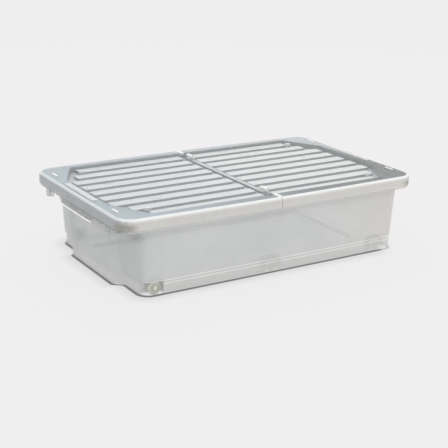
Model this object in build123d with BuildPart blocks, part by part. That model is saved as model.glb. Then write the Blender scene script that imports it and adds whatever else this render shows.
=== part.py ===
from build123d import *
from math import sqrt
import os

os.makedirs("parts", exist_ok=True)

# An under bed box: a shallow tub on six small wheels, under a lid in two halves that fold up
# about a hinge across the middle. X runs along the box, Y across it, and Z is up. The origin
# is on the floor, under the middle of the box. Sizes are in millimetres.

# ------------------------------------------------------------------ overall sizes
lid_length = 740.0
lid_width = 448.0
lid_bow = 5.0  # how far each long side of the lid bows out at its middle
lid_corner = 38.0
lid_top = 175.0  # floor to the flat border of the lid
wall = 2.0
lip_gap = 1.0  # between the tub's lip and the lid's skirt
rim_length = lid_length - 2 * (wall + lip_gap)
rim_width = lid_width - 2 * (wall + lip_gap)
rim_corner = lid_corner - wall - lip_gap
rim_reach_x = 19.0  # how far the rim stands out from the walls, at the ends
rim_reach_y = 8.0  # and along the sides
mouth_length = rim_length - 2 * rim_reach_x  # outside of the walls, under the rim
mouth_width = rim_width - 2 * rim_reach_y
mouth_corner = 46.0
mouth_bow = 4.0
slope_x = 14.0  # how far each end wall leans in, from the rim to the base
slope_y = 11.5
base_length = mouth_length - 2 * slope_x
base_width = mouth_width - 2 * slope_y
base_corner = 26.0
base_bow = 1.0
base_z = 2.0  # the wheels hold the base this far off the floor

# ------------------------------------------------------------------ tub
rim_gap = 0.5  # under the lid's border
rim_z = lid_top - wall - rim_gap
lip_drop = 27.0  # from the top of the rim to the edge of its lip
plateau_margin_x = 52.0  # from the ends of the base to the raised middle of the floor
plateau_margin_y = 81.5
plateau_corner = 18.0
plateau_height = 8.0
end_lift = 5.0  # the base is cut this much higher at the right end
grip_width = 176.0  # the hand grip below the rim, at each end
grip_drop = 14.0
grip_corner = 12.0
bead = 2.2  # the thick lower edge of each grip
bead_out = 1.2
lug_width = 12.0  # pairs of lugs under the rim, near each corner
lug_gap = 5.0
lug_margin = 69.0  # from the side of the rim to the middle of a pair
lug_drops = (14.0, 18.0)  # below the lip
lug_depth = 7.0
notch_height = 30.0  # the left corners are cut away below this, over the wheels
notch_start = 101.5  # from the side of the base
notch_turn = 79.5
notch_inset = 20.0
notch_back = 20.0
cheek_depth = 18.0  # above that the left corners are drawn in by this, up to the lip
cheek_drop = 5.5  # from the edge of the lip to the top of the drawn-in corners
cheek_reach = 60.0  # how far the cut for a drawn-in corner runs past the end of the base

# ------------------------------------------------------------------ wheels
wheel_radius = 14.5
wheel_width = 13.0
wheel_round = 2.5
wheel_bore_gap = 0.08
hub_radius = 6.0
hub_recess = 2.0
wheel_margin_x = 50.0  # from the end of the base to the middle of a wheel
wheel_margin_y = 12.0
wheel_gap = 2.5  # around a wheel, in its housing
side_gap = 1.0  # between a wheel and its housing
axle_radius = 2.5
axle_head_radius = 4.5
axle_head = 1.5
axle_seat_gap = 0.05
boss_radius = 6.0
boss_depth = 8.0

# ------------------------------------------------------------------ lid
skirt_drop = 24.0
edge_round = 9.0
seam = 1.2  # between the two halves
recess_gap_x = 2.0  # between the sunk panel and the tub's walls, at the ends
recess_gap_y = 9.0
recess_depth = 11.5
recess_corner_x = 50.0  # each corner of the recess is cut off by a slanting edge
recess_corner_y = 96.0
recess_round = 9.0
rib_pitch = 45.0
rib_width = 27.0
rib_height = 6.0
rib_start_right = 7.0  # from the middle of the lid to the ribs of the right half
rib_start_left = 14.0
rib_margin = 12.0  # from the ends of the ribs to the end of the recess
rib_side_gap = 5.0  # the least room beside the outer ribs
rib_round = 3.0
rib_edge = 1.2  # the rounding of the ribs' top edges
strip_width = 4.0  # a ridge along the seam
strip_margin = 24.0  # from the ends of the ridge to the sides of the recess
comb_count = 16
comb_pitch = 9.0
comb_tooth = 3.8
comb_height = 2.4
comb_length = 13.0
comb_margin = 14.5  # from the end of the lid to the middle of the comb
bar_length = 26.0
bar_width = 5.0
bar_height = 1.6
bar_margin_x = 21.0  # from the end of the lid
bar_margin_y = 71.0
stop_inset_x = 3.0  # raised pads, this far inside the wheels of a box on top
stop_inset_y = 29.5
stop_length = 16.0
stop_width = 9.0
stop_height = 5.5

# ------------------------------------------------------------------ lid hinges
axis_rise = 0.8  # the hinge line is this far above the border
hinge_margin = 16.0  # from the end of the ridge to the middle of a hinge
barrel_radius = 4.4
pin_radius = 1.6
pin_gap = 0.06
pin_head_radius = 2.6
pin_head = 1.2
outer_knuckle = 6.5
middle_knuckle = 9.0
knuckle_gap = 0.5

rim_round = edge_round - wall - lip_gap
lip_z = rim_z - lip_drop
grip_z = lip_z - grip_drop
cheek_top = lip_z - cheek_drop
lug_y = rim_width / 2 - lug_margin
plateau_length = base_length - 2 * plateau_margin_x
plateau_width = base_width - 2 * plateau_margin_y
wheel_spacing = base_length / 2 - wheel_margin_x
wheel_side = base_width / 2 - wheel_margin_y
wheel_z = wheel_radius
well_half = wheel_radius + wheel_gap
well_top = 2 * wheel_radius + wheel_gap
well_inner = wheel_side - wheel_width / 2 - side_gap
axle_start = well_inner - boss_depth + wall
axle_end = wheel_side + wheel_width / 2 + side_gap / 2
well_outer = axle_end + axle_head + side_gap / 2
skirt_z = lid_top - skirt_drop
recess_length = mouth_length - 2 * (2 * wall + recess_gap_x)
recess_width = mouth_width - 2 * (2 * wall + recess_gap_y)
recess_z = lid_top - recess_depth
recess_slope = recess_corner_x / recess_corner_y
rib_z = recess_z + rib_height
rib_room = recess_width / 2 - rib_width / 2 - rib_side_gap
rib_pairs = int(rib_room / rib_pitch)  # beside the middle rib
strip_end = recess_width / 2 - strip_margin
hinge_y = strip_end - hinge_margin
axis_z = lid_top + axis_rise
bar_x = lid_length / 2 - bar_margin_x
bar_y = lid_width / 2 - bar_margin_y
stop_x = wheel_spacing - stop_inset_x
stop_y = wheel_side - stop_inset_y


def outline(length, width, corner, bow, z):
    """A rounded rectangle at height z, whose long sides bow outwards."""
    x = length / 2
    y = width / 2
    cut = corner * (1 - sqrt(0.5))
    with BuildSketch(Plane.XY.offset(z)) as sketch:
        with BuildLine():
            ThreePointArc((corner - x, -y), (0, -y - bow), (x - corner, -y))
            ThreePointArc((x - corner, -y), (x - cut, cut - y), (x, corner - y))
            Line((x, corner - y), (x, y - corner))
            ThreePointArc((x, y - corner), (x - cut, y - cut), (x - corner, y))
            ThreePointArc((x - corner, y), (0, y + bow), (corner - x, y))
            ThreePointArc((corner - x, y), (cut - x, y - cut), (-x, y - corner))
            Line((-x, y - corner), (-x, corner - y))
            ThreePointArc((-x, corner - y), (cut - x, cut - y), (corner - x, -y))
        make_face()
    return sketch.sketch


def tub_outline(z, inset, shorter=0):
    """The plan of the tub's sloping walls at height z, drawn in by inset."""
    rise = (z - base_z) / (rim_z - base_z)
    length = base_length + rise * (mouth_length - base_length) - 2 * (inset + shorter)
    width = base_width + rise * (mouth_width - base_width) - 2 * inset
    corner = base_corner + rise * (mouth_corner - base_corner) - inset
    bow = base_bow + rise * (mouth_bow - base_bow)
    return outline(length, width, corner, bow, z)


def notch_outline(side, inset):
    """The plan of the cut under one left corner; side is -1 at the front and 1 at the back."""
    x = base_length / 2
    start = base_width / 2 - notch_start
    turn = base_width / 2 - notch_turn
    far = lid_width
    edge = [
        (-x - notch_inset, side * (start - inset)),
        (-x + inset, side * (start - inset)),
        (-x + notch_inset + inset, side * (turn - inset)),
        (-x + notch_back + inset, side * (well_inner - inset)),
        (-wheel_spacing + well_half + inset, side * (well_inner - inset)),
        (-wheel_spacing + well_half + inset, side * far),
        (-x - notch_inset, side * far),
    ]
    with BuildSketch(Plane.XY) as sketch:
        with BuildLine():
            Polyline(*edge, close=True)
        make_face()
    return sketch.sketch


def cheek(side, inset):
    """The space cut away from a left corner above the wheels, grown by inset."""
    x = base_length / 2
    start = base_width / 2 - notch_start - inset
    top = cheek_top + inset
    edge = [
        (-x - cheek_reach, side * (start - cheek_reach)),
        (-x + cheek_reach + inset, side * (start + cheek_reach)),
        (-x + cheek_reach + inset, side * lid_width),
        (-x - cheek_reach, side * lid_width),
    ]
    with BuildPart() as core:
        loft(
            [
                tub_outline(base_z - wall, inset, cheek_depth),
                tub_outline(top + wall, inset, cheek_depth),
            ],
            ruled=True,
        )
    with BuildPart() as cut:
        with BuildSketch(Plane.XY.offset(base_z)):
            with BuildLine():
                Polyline(*edge, close=True)
            make_face()
        extrude(amount=top - base_z)
        add(core.part, mode=Mode.SUBTRACT)
    return cut.part


def wheel_places(columns=(-1, 0, 1)):
    """Every wheel's column, side and the middle of its housing, from left to right."""
    return [(column, side) for column in columns for side in (-1, 1)]


# ------------------------------------------------------------------ the tub
with BuildPart() as inside:
    loft([tub_outline(base_z + wall, wall), tub_outline(rim_z, wall)], ruled=True)
    with BuildSketch(Plane.XY.offset(base_z)):
        RectangleRounded(plateau_length, plateau_width, plateau_corner)
    extrude(amount=plateau_height + wall, mode=Mode.SUBTRACT)
    lift_x = wheel_spacing + well_half
    with Locations((lift_x - wall, 0, base_z)):
        Box(
            base_length,
            base_width,
            end_lift + wall,
            align=(Align.MIN, Align.CENTER, Align.MIN),
            mode=Mode.SUBTRACT,
        )
    for column, side in wheel_places():
        with Locations((column * wheel_spacing, side * (well_inner - wall), base_z)):
            Box(
                2 * (well_half + wall),
                lid_width,
                well_top + wall - base_z,
                align=(Align.CENTER, Align.MAX if side < 0 else Align.MIN, Align.MIN),
                mode=Mode.SUBTRACT,
            )
    for side in (-1, 1):
        extrude(notch_outline(side, wall), amount=notch_height + wall, mode=Mode.SUBTRACT)
        add(cheek(side, wall), mode=Mode.SUBTRACT)

with BuildPart() as grip:
    with BuildSketch(Plane.YZ.offset(rim_length / 2 - wall)) as grip_plate:
        with BuildLine():
            half = grip_width / 2
            Polyline(
                (-half, lip_z + wall),
                (half, lip_z + wall),
                (half, lip_z),
                (half - grip_corner, grip_z),
                (grip_corner - half, grip_z),
                (-half, lip_z),
                close=True,
            )
        make_face()
        fillet(grip_plate.vertices().group_by(Axis.Y)[0], grip_corner)
    extrude(amount=wall)
    with Locations((rim_length / 2 + bead_out, 0, grip_z)):
        Box(
            wall + bead_out,
            grip_width - 4 * grip_corner,
            bead,
            align=(Align.MAX, Align.CENTER, Align.MIN),
        )

with BuildPart() as lugs:
    for drop, step in zip(lug_drops, (-1, 1)):
        y = lug_y + step * (lug_width + lug_gap) / 2
        with Locations((rim_length / 2 - wall, y, rim_z - rim_round)):
            Box(
                lug_depth,
                lug_width,
                lip_drop - rim_round + drop,
                align=(Align.MAX, Align.CENTER, Align.MAX),
            )

with BuildPart() as rim_inside:
    extrude(
        outline(
            rim_length - 2 * wall, rim_width - 2 * wall, rim_corner - wall, lid_bow, lip_z
        ),
        amount=lip_drop - wall,
    )
    fillet(rim_inside.edges().group_by(Axis.Z)[-1], rim_round - wall)

with BuildPart() as rim:
    extrude(outline(rim_length, rim_width, rim_corner, lid_bow, lip_z), amount=lip_drop)
    fillet(rim.edges().group_by(Axis.Z)[-1], rim_round)
    add(rim_inside.part, mode=Mode.SUBTRACT)
    extrude(tub_outline(rim_z, wall), amount=-2 * wall, mode=Mode.SUBTRACT)

with BuildPart() as tub:
    loft([tub_outline(base_z, 0), tub_outline(rim_z, 0)], ruled=True)
    add(inside.part, mode=Mode.SUBTRACT)
    with BuildSketch(Plane.XY.offset(base_z)):
        RectangleRounded(
            plateau_length - 2 * wall, plateau_width - 2 * wall, plateau_corner - wall
        )
    extrude(amount=plateau_height, mode=Mode.SUBTRACT)
    with Locations((lift_x, 0, 0)):
        Box(
            base_length,
            lid_width,
            base_z + end_lift,
            align=(Align.MIN, Align.CENTER, Align.MIN),
            mode=Mode.SUBTRACT,
        )
    for column, side in wheel_places():
        y = side * (well_inner + well_outer) / 2
        with Locations((column * wheel_spacing, y, 0)):
            Box(
                2 * well_half,
                well_outer - well_inner,
                well_top,
                align=(Align.CENTER, Align.CENTER, Align.MIN),
                mode=Mode.SUBTRACT,
            )
    for side in (-1, 1):
        extrude(notch_outline(side, 0), amount=notch_height, mode=Mode.SUBTRACT)
        add(cheek(side, 0), mode=Mode.SUBTRACT)
    add(rim.part)
    add(grip.part)
    add(mirror(grip.part, about=Plane.YZ))
    add(lugs.part)
    add(mirror(lugs.part, about=Plane.XZ))
    add(mirror(lugs.part, about=Plane.YZ))
    add(mirror(mirror(lugs.part, about=Plane.YZ), about=Plane.XZ))
    # a boss behind each wheel holds its axle
    for column, side in wheel_places():
        place = Plane(
            origin=(column * wheel_spacing, side * well_inner, wheel_z), z_dir=(0, -side, 0)
        )
        with BuildSketch(place):
            Circle(boss_radius)
        extrude(amount=boss_depth)
        with BuildSketch(place):
            Circle(axle_radius + axle_seat_gap)
        extrude(amount=boss_depth - wall, mode=Mode.SUBTRACT)
tub.part.label = "tub"
export_step(tub.part, "parts/tub.step")

# ------------------------------------------------------------------ wheels and axles
for column, where in ((-1, "left"), (0, "middle"), (1, "right")):
    for side, face in ((-1, "front"), (1, "back")):
        middle = (column * wheel_spacing, side * wheel_side, wheel_z)
        outward = Plane(origin=middle, z_dir=(0, side, 0))
        with BuildPart(outward) as wheel:
            Cylinder(wheel_radius, wheel_width)
            fillet(wheel.edges().filter_by(GeomType.CIRCLE), wheel_round)
            with BuildSketch(outward.offset(wheel_width / 2)):
                Circle(wheel_radius - 3 * wheel_round / 2)
                Circle(hub_radius, mode=Mode.SUBTRACT)
            extrude(amount=-hub_recess, mode=Mode.SUBTRACT)
            Cylinder(axle_radius + wheel_bore_gap, wheel_width, mode=Mode.SUBTRACT)
        wheel.part.label = f"wheel_{face}_{where}"
        export_step(wheel.part, f"parts/wheel_{face}_{where}.step")

        root = (middle[0], side * axle_start, wheel_z)
        with BuildPart(Plane(origin=root, z_dir=(0, side, 0))) as axle:
            Cylinder(
                axle_radius,
                axle_end - axle_start,
                align=(Align.CENTER, Align.CENTER, Align.MIN),
            )
            with Locations((0, 0, axle_end - axle_start)):
                Cylinder(
                    axle_head_radius,
                    axle_head,
                    align=(Align.CENTER, Align.CENTER, Align.MIN),
                )
            end_face = axle.faces().sort_by(Axis.Y)[-1 if side > 0 else 0]
            fillet(end_face.edges(), axle_head / 2)
        axle.part.label = f"axle_{face}_{where}"
        export_step(axle.part, f"parts/axle_{face}_{where}.step")

# ------------------------------------------------------------------ the lid, before it is cut
def recess_outline(grow, z):
    """The plan of the lid's sunk panel at height z, grown by a wall; its corners slant."""
    x = recess_length / 2 + grow
    y = recess_width / 2 + grow
    with BuildSketch(Plane.XY.offset(z)) as sketch:
        with BuildLine():
            Polyline(
                (recess_corner_x - x, -y),
                (x - recess_corner_x, -y),
                (x, recess_corner_y - y),
                (x, y - recess_corner_y),
                (x - recess_corner_x, y),
                (recess_corner_x - x, y),
                (-x, y - recess_corner_y),
                (-x, recess_corner_y - y),
                close=True,
            )
        make_face()
        fillet(sketch.vertices(), recess_round + grow)
    return sketch.sketch


with BuildPart() as lid_inside:
    extrude(
        outline(
            lid_length - 2 * wall, lid_width - 2 * wall, lid_corner - wall, lid_bow, skirt_z
        ),
        amount=skirt_drop - wall,
    )
    fillet(lid_inside.edges().group_by(Axis.Z)[-1], edge_round - wall)
    extrude(recess_outline(wall, recess_z - wall), amount=recess_depth, mode=Mode.SUBTRACT)

with BuildPart() as shell:
    extrude(outline(lid_length, lid_width, lid_corner, lid_bow, skirt_z), amount=skirt_drop)
    fillet(shell.edges().group_by(Axis.Z)[-1], edge_round)
    add(lid_inside.part, mode=Mode.SUBTRACT)
    extrude(recess_outline(0, recess_z), amount=recess_depth, mode=Mode.SUBTRACT)

# ------------------------------------------------------------------ the two halves and their hinges
hinge_span = 2 * outer_knuckle + middle_knuckle + 2 * knuckle_gap
outer_middle = hinge_span / 2 - outer_knuckle / 2
outer_pair = [(-outer_middle, outer_knuckle), (outer_middle, outer_knuckle)]
for name, turn, rib_start, knuckles in (
    ("lid_right", 1, rib_start_right, outer_pair),
    ("lid_left", -1, rib_start_left, [(0, middle_knuckle)]),
):
    with BuildPart() as lid:
        add(shell.part)
        split(
            bisect_by=Plane.YZ.offset(turn * seam / 2),
            keep=Keep.TOP if turn > 0 else Keep.BOTTOM,
        )
        # hollow ribs along the panel; the outer ones end where the recess narrows
        for row in range(-rib_pairs, rib_pairs + 1):
            y = row * rib_pitch
            outer = abs(y) + rib_width / 2
            narrowing = max(0, outer - (recess_width / 2 - recess_corner_y)) * recess_slope
            length = recess_length / 2 - rib_margin - narrowing - rib_start
            x = turn * (rib_start + length / 2)
            with BuildSketch(Plane.XY.offset(recess_z)):
                with Locations((x, y)):
                    RectangleRounded(length, rib_width, rib_round)
            extrude(amount=rib_height)
            with BuildSketch(Plane.XY.offset(recess_z - wall)):
                with Locations((x, y)):
                    RectangleRounded(length - 2 * wall, rib_width - 2 * wall, rib_round / 2)
            extrude(amount=rib_height, mode=Mode.SUBTRACT)
        # the ridge along the seam
        with BuildSketch(Plane.XY.offset(recess_z)):
            with Locations((turn * (seam + strip_width) / 2, 0)):
                Rectangle(strip_width, 2 * strip_end)
        extrude(amount=rib_height)
        edges = lid.edges().filter_by(lambda edge: abs(edge.center().Z - rib_z) < 0.01)
        fillet(edges, rib_edge)
        # the comb of grip ridges, the bars and the stops
        with BuildSketch(Plane.XY.offset(lid_top - wall / 2)):
            with Locations((turn * (lid_length / 2 - comb_margin), 0)):
                with GridLocations(0, comb_pitch, 1, comb_count):
                    Rectangle(comb_length, comb_tooth)
        extrude(amount=comb_height + wall / 2)
        with BuildSketch(Plane.XY.offset(lid_top)):
            with Locations((turn * bar_x, -bar_y), (turn * bar_x, bar_y)):
                Rectangle(bar_width, bar_length)
        extrude(amount=bar_height)
        with BuildSketch(Plane.XY.offset(recess_z)):
            with Locations((turn * stop_x, -stop_y), (turn * stop_x, stop_y)):
                RectangleRounded(stop_length, stop_width, stop_width / 3)
        extrude(amount=rib_height + stop_height)
        for side in (-1, 1):
            for offset_y, length in knuckles:
                place = Plane(
                    origin=(0, side * hinge_y + offset_y - length / 2, axis_z),
                    x_dir=(turn, 0, 0),
                    z_dir=(0, 1, 0),
                )
                with BuildSketch(place):
                    Circle(barrel_radius)
                    with BuildLine():
                        deep = turn * (axis_z - rib_z + rib_edge)
                        Polyline(
                            (seam / 2, 0),
                            (barrel_radius, 0),
                            (strip_width, deep),
                            (seam / 2, deep),
                            close=True,
                        )
                    make_face()
                extrude(amount=length)
            with Locations(Location((0, side * hinge_y, axis_z), (90, 0, 0))):
                Cylinder(pin_radius + pin_gap, hinge_span + 2, mode=Mode.SUBTRACT)
    lid.part.label = name
    export_step(lid.part, f"parts/{name}.step")

for side, face in ((-1, "front"), (1, "back")):
    middle = Location((0, side * hinge_y, axis_z), (90, 0, 0))
    with BuildPart() as pin:
        with Locations(middle):
            Cylinder(pin_radius, hinge_span + 2 * knuckle_gap)
        for end in (-1, 1):
            head_y = side * hinge_y + end * (hinge_span / 2 + knuckle_gap + pin_head / 2)
            with Locations(Location((0, head_y, axis_z), (90, 0, 0))):
                Cylinder(pin_head_radius, pin_head)
    pin.part.label = f"hinge_pin_{face}"
    export_step(pin.part, f"parts/hinge_pin_{face}.step")
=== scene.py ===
import math

import bpy
from mathutils import Matrix, Vector


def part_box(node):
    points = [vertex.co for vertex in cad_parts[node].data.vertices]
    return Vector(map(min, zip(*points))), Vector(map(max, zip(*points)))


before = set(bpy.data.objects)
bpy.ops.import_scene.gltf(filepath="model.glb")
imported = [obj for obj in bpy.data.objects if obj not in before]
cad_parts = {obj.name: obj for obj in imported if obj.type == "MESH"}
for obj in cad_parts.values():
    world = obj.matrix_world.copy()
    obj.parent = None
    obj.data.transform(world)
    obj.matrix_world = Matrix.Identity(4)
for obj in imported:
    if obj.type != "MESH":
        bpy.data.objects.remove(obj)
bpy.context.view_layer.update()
print("frame loaded")

scene = bpy.context.scene


# shader helpers
class Wire:
    # one output socket; the operators add Math nodes
    def __init__(self, finish, socket):
        self.finish = finish
        self.socket = socket

    def maths(self, operation, first, second):
        return self.finish.node("ShaderNodeMath", {"operation": operation}, {0: first, 1: second})

    def __add__(self, other):
        return self.maths("ADD", self, other)

    def __radd__(self, other):
        return self.maths("ADD", other, self)

    def __sub__(self, other):
        return self.maths("SUBTRACT", self, other)

    def __rsub__(self, other):
        return self.maths("SUBTRACT", other, self)

    def __mul__(self, other):
        return self.maths("MULTIPLY", self, other)

    def __rmul__(self, other):
        return self.maths("MULTIPLY", other, self)


class Finish:
    # a material that is being built: its tree, and the places and directions on the piece
    def __init__(self, name):
        self.material = bpy.data.materials.new(name)
        self.material.use_nodes = True
        self.tree = self.material.node_tree
        self.tree.nodes.clear()
        self.output = self.tree.nodes.new("ShaderNodeOutputMaterial")
        self.place = self.node("ShaderNodeTexCoord", output="Object")
        parts = self.node("ShaderNodeSeparateXYZ", values={0: self.place})
        self.x = self.other(parts, "X")
        self.y = self.other(parts, "Y")
        self.z = self.other(parts, "Z")
        facing = self.node("ShaderNodeTexCoord", output="Normal")
        self.turned = self.node("ShaderNodeSeparateXYZ", values={0: facing})
        self.up = self.other(self.turned, "Z")

    def node(self, kind, settings=None, values=None, output=0):
        made = self.tree.nodes.new(kind)
        for name, value in (settings or {}).items():
            setattr(made, name, value)
        for name, value in (values or {}).items():
            if isinstance(value, Wire):
                self.tree.links.new(value.socket, made.inputs[name])
            else:
                made.inputs[name].default_value = value
        return Wire(self, made.outputs[output])

    def other(self, wire, output):
        # another output of the node that a wire leaves
        return Wire(self, wire.socket.node.outputs[output])

    def rise(self, value, low, high):
        # 0 below low, 1 above high, smooth between them
        return self.node(
            "ShaderNodeMapRange",
            {"interpolation_type": "SMOOTHSTEP"},
            {"Value": value, "From Min": low, "From Max": high},
        )

    def size(self, value):
        # the value without its sign
        return self.node("ShaderNodeMath", {"operation": "ABSOLUTE"}, {0: value})

    def larger(self, first, second):
        return self.node("ShaderNodeMath", {"operation": "MAXIMUM"}, {0: first, 1: second})

    def band(self, value, low, high, soft):
        # 1 between low and high, fading out over soft
        return self.rise(value, low - soft, low) * (1 - self.rise(value, high, high + soft))

    def around(self, value, middle, half, soft):
        # 1 within half of the middle, fading out over soft
        return self.band(value, middle - half, middle + half, soft)

    def above(self, height, low, high):
        # 0 below height + low, 1 above height + high
        return self.rise(self.z, height + low, height + high)

    def endward(self, middle, low, high):
        # 1 where a face looks out of the nearer end of the box
        side = 2 * self.rise(self.x, -middle, middle) - 1
        return self.rise(self.other(self.turned, "X") * side, low, high)

    def mix(self, factor, low, high):
        # a blend of two colours
        return self.node(
            "ShaderNodeMix",
            {"data_type": "RGBA"},
            {0: factor, 6: self.colour(low), 7: self.colour(high)},
            output=2,
        )

    def colour(self, value):
        return value if isinstance(value, Wire) else (*value, 1)

    def clouds(self, scale, detail=3):
        return self.node(
            "ShaderNodeTexNoise", None, {"Vector": self.place, "Scale": scale, "Detail": detail}
        )

    def skin(self, strength, distance, height):
        return self.node(
            "ShaderNodeBump", None, {"Strength": strength, "Distance": distance, "Height": height}
        )

    def finishWith(self, values):
        shader = self.node("ShaderNodeBsdfPrincipled", None, values)
        self.tree.links.new(shader.socket, self.output.inputs["Surface"])
        return self.material


def wear(node, material):
    # gives a CAD node its finish
    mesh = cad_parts[node].data
    mesh.materials.clear()
    mesh.materials.append(material)


# heights and edges of the moulded parts, from the frame
lidLow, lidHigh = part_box("lid_left")
tubLow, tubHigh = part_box("tub")
edgeX = -lidLow[0]
edgeY = lidHigh[1]

# what the moulded parts share
plastic = {
    "refraction": 1.49,
    "grainScale": 420.0,
    "grainDetail": 2,
    "grainStrength": 0.05,
    "grainDepth": 0.0005,
    "endMiddle": 0.01,
    "endFacing": (0.45, 0.95),
}

# colours, then where they lie: pairs are where a change starts and ends
tub = {
    "clear": (0.62, 0.635, 0.635),
    "milk": (0.72, 0.73, 0.725),
    # painted shade on the two ends, darkest under the rim
    "end": (0.55, 0.57, 0.565),
    "shade": (0.25, 0.265, 0.26),
    "pale": (0.68, 0.685, 0.66),
    "warm": (0.70, 0.69, 0.645),
    "floor": (0.54, 0.56, 0.575),
    # a painted highlight for two lines low on the long sides
    "ridge": (0.93, 0.925, 0.90),
    # a painted white highlight on the bead under each hand grip
    "bead": (1.0, 1.0, 1.0),
    "warmFrom": 0.1,
    "paleHeights": (0.014, 0.034),
    "shadeFrom": 0.105,
    "shadeBelowRim": 0.02,
    "floorUp": (0.8, 0.95),
    "floorHeights": (0.02, 0.03),
    "ridgeHeights": (0.0305, 0.0235),
    "ridgeHalf": 0.0006,
    "ridgeFade": 0.0012,
    "ridgeBeside": (0.190, 0.195),
    "beadHeights": (0.1313, 0.1338),
    "beadFade": 0.0004,
    "beadFromEnd": (0.003, 0.002),
    "cover": 0.34,
    "coverSpread": 0.12,
    "roughness": 0.30,
    "roughnessSpread": 0.12,
    "cloudScale": 7.0,
}


def tubPlastic():
    f = Finish("milkyTubPlastic")
    cloud = f.clouds(tub["cloudScale"])
    grain = f.clouds(plastic["grainScale"], plastic["grainDetail"])
    body = f.mix(cloud, tub["clear"], tub["milk"])
    body = f.mix(f.rise(f.x, tub["warmFrom"], tubHigh[0]), body, tub["warm"])
    # painted shade: the two ends are painted darker, most of all under the rim
    shadeUnderRim = f.rise(f.z, tub["shadeFrom"], tubHigh[2] - tub["shadeBelowRim"])
    endward = f.endward(plastic["endMiddle"], *plastic["endFacing"])
    body = f.mix(endward, body, f.mix(shadeUnderRim, tub["end"], tub["shade"]))
    # a paler foot, and a greyer floor inside
    body = f.mix(1 - f.rise(f.z, *tub["paleHeights"]), body, tub["pale"])
    level = f.rise(f.up, *tub["floorUp"]) * (1 - f.rise(f.z, *tub["floorHeights"]))
    body = f.mix(level, body, tub["floor"])
    # two painted highlight lines along the long sides, just above the floor
    beside = f.rise(f.size(f.y), *tub["ridgeBeside"])
    for height in tub["ridgeHeights"]:
        ridge = f.around(f.z, height, tub["ridgeHalf"], tub["ridgeFade"])
        body = f.mix(ridge * beside, body, tub["ridge"])
    # a painted white highlight on the bead under each hand grip
    beadStart, beadEnd = tub["beadFromEnd"]
    bead = f.rise(f.size(f.x), tubHigh[0] - beadStart, tubHigh[0] - beadEnd)
    bead = bead * f.band(f.z, *tub["beadHeights"], tub["beadFade"])
    return f.finishWith(
        {
            "Base Color": f.mix(bead, body, tub["bead"]),
            "Roughness": tub["roughness"] + tub["roughnessSpread"] * cloud,
            "Alpha": f.larger(tub["cover"] + tub["coverSpread"] * cloud, bead),
            "IOR": plastic["refraction"],
            "Normal": f.skin(plastic["grainStrength"], plastic["grainDepth"], grain),
        }
    )


# pairs are measured from the height or the edge that they are about
lid = {
    # painted light and shade on one plastic: the border darkest at the front and lighter at the
    # back, grooves shaded, ribs lit, border and ribs bluer towards the left
    "border": (0.05, 0.06, 0.065),
    "borderBack": (0.37, 0.39, 0.41),
    "borderLeft": (0.29, 0.35, 0.39),
    "grooveShade": (0.44, 0.46, 0.465),
    "rib": (0.66, 0.68, 0.675),
    "ribLeft": (0.58, 0.61, 0.635),
    # painted highlight: the white on raised parts, rib edges, pads, knuckles and the rounded edge
    "edge": (0.86, 0.87, 0.87),
    # the painted highlight dimmer at the ends, painted shade on the skirt ends, and a painted
    # dark reflection low on the corners
    "edgeEndHighlight": (0.66, 0.70, 0.72),
    "skirt": (0.68, 0.668, 0.645),
    "skirtEndShade": (0.42, 0.44, 0.455),
    "corner": (0.37, 0.36, 0.315),
    "borderTop": 0.175,
    "ribTop": 0.1695,
    "edgeRound": 0.009,
    "flatUp": (0.90, 0.99),
    "roundUp": (0.55, 0.90),
    "roundFade": 0.12,
    "leftFade": (-0.36, 0.2),
    "backFade": (-0.10, 0.15),
    "onBorder": (-0.002, -0.0005),
    "raised": (0.0002, 0.0005),
    "onRib": (-0.0008, -0.0001),
    "ribUp": (0.5, 0.8),
    "ribEdgeHighlight": (-0.0013, -0.0009),
    "ribEdgeHighlightUp": (0.60, 0.88),
    "ribEdgeHighlightFade": 0.08,
    "lumpHighlight": (0.0003, 0.0008),
    "padPlace": (0.281, 0.160),
    "padHalf": (0.009, 0.0055),
    "padFade": (0.001, 0.0005),
    "padStrength": 0.6,
    "knuckleReach": (0.0045, 0.0055),
    "cornerFromEnd": (0.045, 0.015),
    "cornerFromSide": (0.055, 0.02),
    "cornerHeights": (0.160, 0.168),
    "endFrom": (0.012, 0.006),
    "cover": 0.60,
    "coverSpread": 0.12,
    "roughness": 0.24,
    "roughnessSpread": 0.10,
    "cloudScale": 11.0,
}


def padMask(f, farX, farY):
    # the raised pads at the ends of the outer ribs
    middleX, middleY = lid["padPlace"]
    halfX, halfY = lid["padHalf"]
    fadeX, fadeY = lid["padFade"]
    return f.around(farX, middleX, halfX, fadeX) * f.around(farY, middleY, halfY, fadeY)


def nearEdge(f, far, edge, span):
    # 0 further in from the edge than the first distance, 1 nearer than the second
    start, end = span
    return f.rise(far, edge - start, edge - end)


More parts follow.
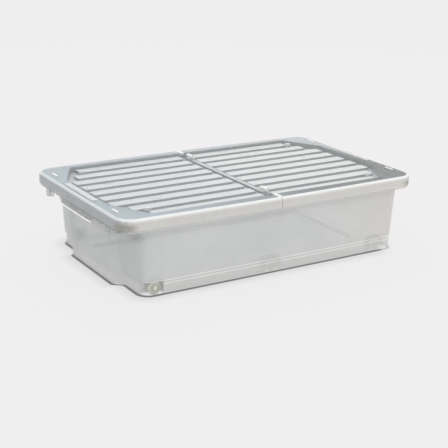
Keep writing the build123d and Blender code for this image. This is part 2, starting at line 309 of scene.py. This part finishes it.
def lidPlastic():
    f = Finish("milkyLidPlastic")
    cloud = f.clouds(lid["cloudScale"])
    grain = f.clouds(plastic["grainScale"], plastic["grainDetail"])
    farX = f.size(f.x)
    farY = f.size(f.y)
    # the top: border, grooves and ribs, in painted light and shade
    flat = f.rise(f.up, *lid["flatUp"])
    leftward = 1 - f.rise(f.x, *lid["leftFade"])
    onRib = f.above(lid["ribTop"], *lid["onRib"]) * f.rise(f.up, *lid["ribUp"])
    panel = f.mix(onRib, lid["grooveShade"], f.mix(leftward, lid["rib"], lid["ribLeft"]))
    border = f.mix(f.rise(f.y, *lid["backFade"]), lid["border"], lid["borderBack"])
    border = f.mix(leftward, border, lid["borderLeft"])
    top = f.mix(f.above(lid["borderTop"], *lid["onBorder"]) * flat, panel, border)
    # painted white highlights on what stands up from it, along the edges of the ribs, on the pads
    # and on the hinge knuckles
    raised = f.above(lid["borderTop"], *lid["raised"])
    ribEdgeHighlight = f.band(f.up, *lid["ribEdgeHighlightUp"], lid["ribEdgeHighlightFade"])
    ribEdgeHighlight = ribEdgeHighlight * f.above(lid["ribTop"], *lid["ribEdgeHighlight"])
    knuckle = 1 - f.rise(farX, *lid["knuckleReach"])
    lumpHighlight = f.larger(lid["padStrength"] * padMask(f, farX, farY), knuckle)
    lumpHighlight = lumpHighlight * f.above(lid["ribTop"], *lid["lumpHighlight"])
    top = f.mix(f.larger(f.larger(raised, ribEdgeHighlight), lumpHighlight), top, lid["edge"])
    # the skirt: painted shade at the ends, a painted dark reflection low on the corners, and a
    # painted white highlight along the rounded edge, dimmer at the ends
    endward = f.endward(plastic["endMiddle"], *plastic["endFacing"])
    side = f.mix(endward, lid["skirt"], lid["skirtEndShade"])
    cornerReflection = nearEdge(f, farX, edgeX, lid["cornerFromEnd"])
    cornerReflection = cornerReflection * nearEdge(f, farY, edgeY, lid["cornerFromSide"])
    cornerReflection = cornerReflection * (1 - f.rise(f.z, *lid["cornerHeights"]))
    side = f.mix(cornerReflection, side, lid["corner"])
    atEnd = nearEdge(f, farX, edgeX, lid["endFrom"])
    rounded = f.band(f.up, *lid["roundUp"], lid["roundFade"])
    side = f.mix(rounded, side, f.mix(atEnd, lid["edge"], lid["edgeEndHighlight"]))
    skirtSpan = (2 * lid["edgeRound"], lid["edgeRound"])
    outside = f.larger(nearEdge(f, farX, edgeX, skirtSpan), nearEdge(f, farY, edgeY, skirtSpan))
    return f.finishWith(
        {
            "Base Color": f.mix(outside * (1 - flat), top, side),
            "Roughness": lid["roughness"] + lid["roughnessSpread"] * cloud,
            "Alpha": lid["cover"] + lid["coverSpread"] * cloud,
            "IOR": plastic["refraction"],
            "Normal": f.skin(plastic["grainStrength"], plastic["grainDepth"], grain),
        }
    )


wheel = {
    "colour": (0.50, 0.52, 0.45),
    "pale": (0.62, 0.635, 0.57),
    "paintedLight": (0.90, 0.905, 0.88),
    "paintedLightFrom": (-0.2, -0.1),
    "cover": 0.9,
    "roughness": 0.32,
    "roughnessSpread": 0.1,
    "cloudScale": 160.0,
    "skinStrength": 0.08,
    "skinDepth": 0.0004,
}


def wheelPlastic():
    f = Finish("wheelPlastic")
    cloud = f.clouds(wheel["cloudScale"])
    body = f.mix(cloud, wheel["colour"], wheel["pale"])
    return f.finishWith(
        # painted light: the wheels from the middle rightwards are painted brighter
        {
            "Base Color": f.mix(f.rise(f.x, *wheel["paintedLightFrom"]), body, wheel["paintedLight"]),
            "Roughness": wheel["roughness"] + wheel["roughnessSpread"] * cloud,
            "Alpha": wheel["cover"],
            "Normal": f.skin(wheel["skinStrength"], wheel["skinDepth"], cloud),
        }
    )


pin = {
    "colour": (0.50, 0.52, 0.48),
    "pale": (0.62, 0.64, 0.60),
    "roughness": 0.3,
    "roughnessSpread": 0.1,
    "cloudScale": 200.0,
    "skinStrength": 0.06,
    "skinDepth": 0.0003,
}


def pinPlastic():
    f = Finish("pinPlastic")
    cloud = f.clouds(pin["cloudScale"])
    return f.finishWith(
        {
            "Base Color": f.mix(cloud, pin["colour"], pin["pale"]),
            "Roughness": pin["roughness"] + pin["roughnessSpread"] * cloud,
            "Normal": f.skin(pin["skinStrength"], pin["skinDepth"], cloud),
        }
    )


# the first word of a node's name gives its finish
pinFinish = pinPlastic()
finishes = {
    "tub": tubPlastic(),
    "lid": lidPlastic(),
    "wheel": wheelPlastic(),
    "axle": pinFinish,
    "hinge": pinFinish,
}
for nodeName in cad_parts:
    wear(nodeName, finishes[nodeName.split("_")[0]])
print("finishes on", len(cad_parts), "pieces")

# the studio: the painted contact shadow line and the painted soft shadow around it are distances
# out from the footprint of the base
ground = {
    "size": 40.0,
    "base": (0.04, 0.04, 0.04),
    "paper": (0.815, 0.800, 0.807),
    # painted shadows on the floor: a soft shadow and a dark contact line
    "softShadow": (0.70, 0.69, 0.695),
    "contactShadow": (0.16, 0.15, 0.16),
    "glow": 1.0,
    "roughness": 0.9,
    "footprint": (0.334, 0.2015),
    "footCorner": 0.026,
    "cutDepth": 0.020,
    "cutBeside": (0.100, 0.122),
    "cutUpTo": (-0.1, 0.0),
    "lift": 0.6,
    "liftFrom": (0.295, 0.305),
    "lineSpan": (-0.003, 0.0015),
    "lineFade": 0.005,
    "softShadowSpan": (-0.01, 0.002),
    "softShadowFade": 0.04,
    "softShadowUpTo": (0.27, 0.335),
}


def fromFootprint(f):
    # how far a point is outside the base, which has round corners and is cut back at the left
    footX, footY = ground["footprint"]
    bend = ground["footCorner"]
    farX = f.size(f.x)
    farY = f.size(f.y)
    cutBack = ground["cutDepth"] * f.rise(farY, *ground["cutBeside"])
    cutBack = cutBack * (1 - f.rise(f.x, *ground["cutUpTo"]))
    beyond = f.node(
        "ShaderNodeCombineXYZ",
        None,
        {
            "X": f.larger(farX + cutBack - (footX - bend), 0.0),
            "Y": f.larger(farY - (footY - bend), 0.0),
        },
    )
    return f.node("ShaderNodeVectorMath", {"operation": "LENGTH"}, {0: beyond}, "Value") - bend


def paperFloor():
    f = Finish("paperFloor")
    away = fromFootprint(f)
    # the painted contact shadow line is fainter where the base is lifted
    touching = 1 - ground["lift"] * f.rise(f.x, *ground["liftFrom"])
    line = f.band(away, *ground["lineSpan"], ground["lineFade"]) * touching
    # a painted soft shadow around the base, fading out towards the right end
    softShadow = f.band(away, *ground["softShadowSpan"], ground["softShadowFade"])
    softShadow = softShadow * (1 - f.rise(f.x, *ground["softShadowUpTo"]))
    paper = f.mix(softShadow, ground["paper"], ground["softShadow"])
    return f.finishWith(
        {
            "Base Color": (*ground["base"], 1),
            "Emission Color": f.mix(line, paper, ground["contactShadow"]),
            "Emission Strength": ground["glow"],
            "Roughness": ground["roughness"],
            "Specular IOR Level": 0.0,
        }
    )


def makeFloor():
    mesh = bpy.data.meshes.new("floor")
    half = ground["size"] / 2
    corners = [(-half, -half, 0), (half, -half, 0), (half, half, 0), (-half, half, 0)]
    mesh.from_pydata(corners, [], [(0, 1, 2, 3)])
    mesh.materials.append(paperFloor())
    floor = bpy.data.objects.new("floor", mesh)
    scene.collection.objects.link(floor)


light = {
    "sky": (1.0, 1.0, 1.0),
    "skyStrength": 1.18,
    "aim": (0.0, 0.0, 0.1),
    "clearLayers": 32,
    "lamps": {
        "key": {"power": 30.0, "size": 2.0, "place": (0.6, 1.6, 2.4)},
        "fill": {"power": 10.0, "size": 1.2, "place": (0.9, -2.6, 1.6)},
    },
}


def makeLights():
    world = bpy.data.worlds.new("studio")
    scene.world = world
    world.use_nodes = True
    sky = world.node_tree.nodes["Background"]
    sky.inputs["Color"].default_value = (*light["sky"], 1)
    sky.inputs["Strength"].default_value = light["skyStrength"]
    for name, facts in light["lamps"].items():
        data = bpy.data.lights.new(name, "AREA")
        data.energy = facts["power"]
        data.size = facts["size"]
        lamp = bpy.data.objects.new(name, data)
        scene.collection.objects.link(lamp)
        lamp.location = facts["place"]
        aim = Vector(light["aim"]) - lamp.location
        lamp.rotation_euler = aim.to_track_quat("-Z", "Y").to_euler()


camera = {
    "place": (-1.1921, -1.9261, 0.7827),
    "target": (-0.0106, -0.0152, 0.0570),
    "roll": 1.0,
    "lens": 83.21,
    "sensor": 36.0,
}


def makeCamera():
    data = bpy.data.cameras.new("camera")
    data.lens = camera["lens"]
    data.sensor_width = camera["sensor"]
    eye = bpy.data.objects.new("camera", data)
    scene.collection.objects.link(eye)
    aim = Vector(camera["target"]) - Vector(camera["place"])
    turn = aim.to_track_quat("-Z", "Y").to_matrix().to_4x4()
    roll = Matrix.Rotation(math.radians(camera["roll"]), 4, "Z")
    eye.matrix_world = Matrix.Translation(camera["place"]) @ turn @ roll
    scene.camera = eye


makeFloor()
makeLights()
makeCamera()
scene.view_settings.view_transform = "Standard"
scene.cycles.transparent_max_bounces = light["clearLayers"]
print("studio ready")
